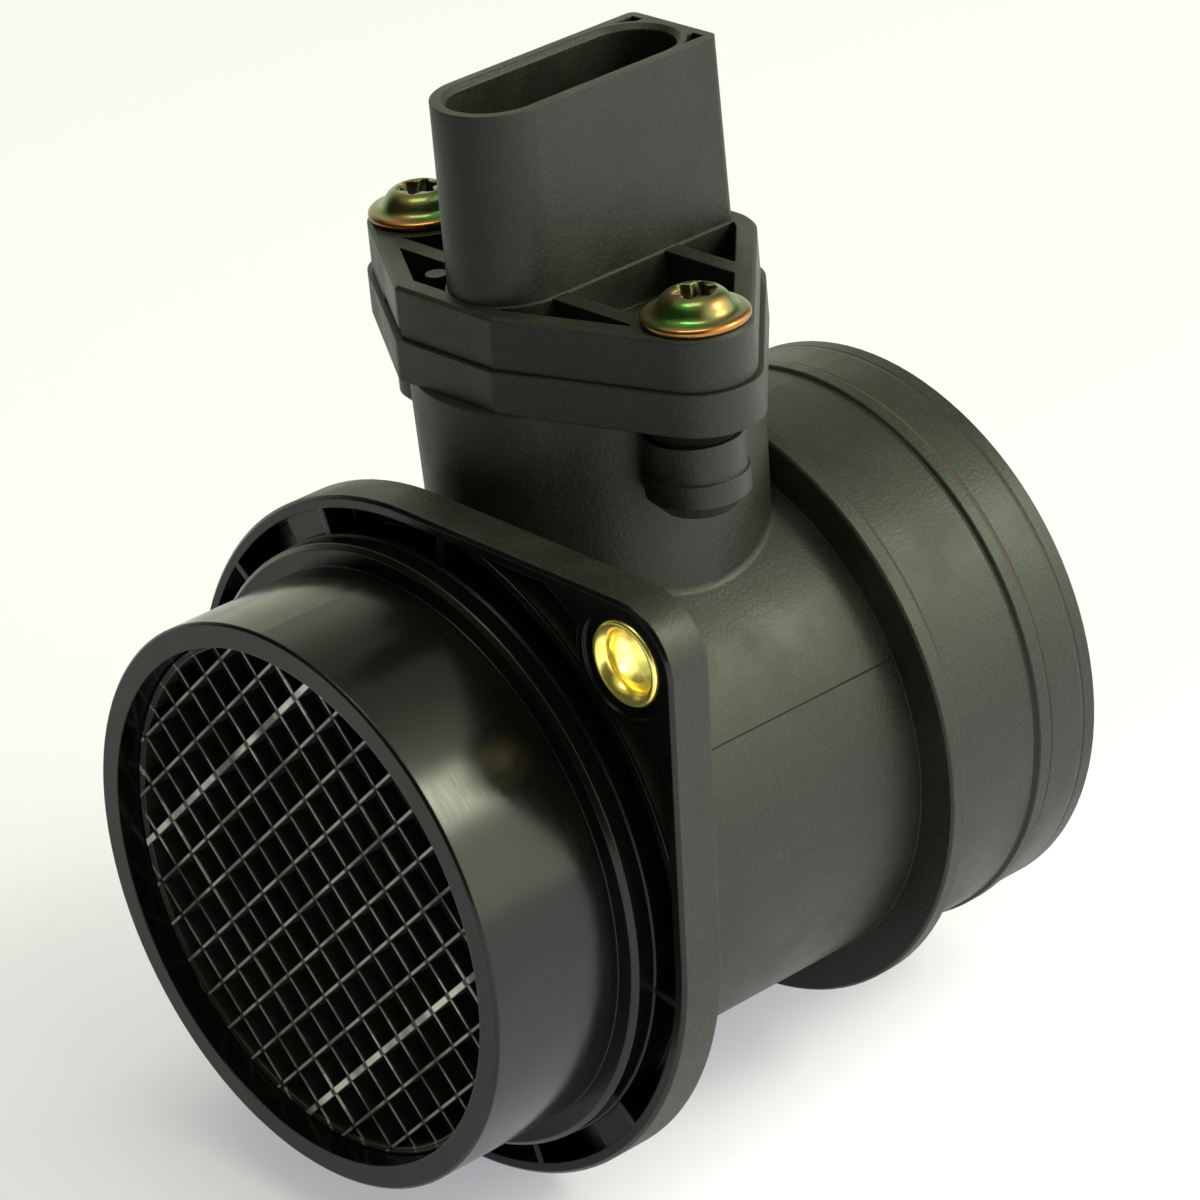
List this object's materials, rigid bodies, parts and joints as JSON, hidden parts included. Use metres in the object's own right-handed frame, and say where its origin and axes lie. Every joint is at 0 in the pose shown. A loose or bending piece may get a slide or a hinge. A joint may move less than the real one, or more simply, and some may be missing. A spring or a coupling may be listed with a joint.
{
  "type": "mass airflow sensor",
  "caption": "Air duct piece with a gridded inlet, a cored mounting flange and a hose end, and a screwed-in plug sensor whose probe hangs in the air stream.",
  "frame": {"origin": "on the duct's axis, in the front plane of the mounting flange, where the two mounting bolts' circle has its centre", "axes": "+Y along the duct from the inlet to the hose end, +Z towards the connector's opening, +X to the right seen from the inlet"},
  "size_m": [0.0894, 0.0962, 0.1285],
  "materials": {
    "housing": "fine-grained moulding, glossy at the inlet end",
    "sensor": "fine-grained moulding",
    "grid": "glossy moulding",
    "sleeve": "yellow plated, smooth",
    "screw": "olive yellow plated steel with a bronze sheen",
    "seal": "smooth",
    "contact": "tinned",
    "plate": "rolled",
    "board": "fired, dull",
    "cover": "smooth",
    "chip": "polished",
    "bead": "resin coated",
    "lead": "tinned wire"
  },
  "bodies": {
    "root": {"tube_housing": "housing", "flow_grid": "grid", "bush_upper": "sleeve", "bush_lower": "sleeve", "screw_near": "screw", "screw_far": "screw", "sensor_body": "sensor", "sensor_o_ring": "seal", "terminal_1": "contact", "terminal_2": "contact", "terminal_3": "contact", "terminal_4": "contact", "terminal_5": "contact", "carrier_plate": "plate", "circuit_board": "board", "electronics_cover": "cover", "channel_cover": "cover", "sensing_chip": "chip", "thermistor_bead": "bead", "thermistor_lead_1": "lead", "thermistor_lead_2": "lead"}
  },
  "joints": []
}
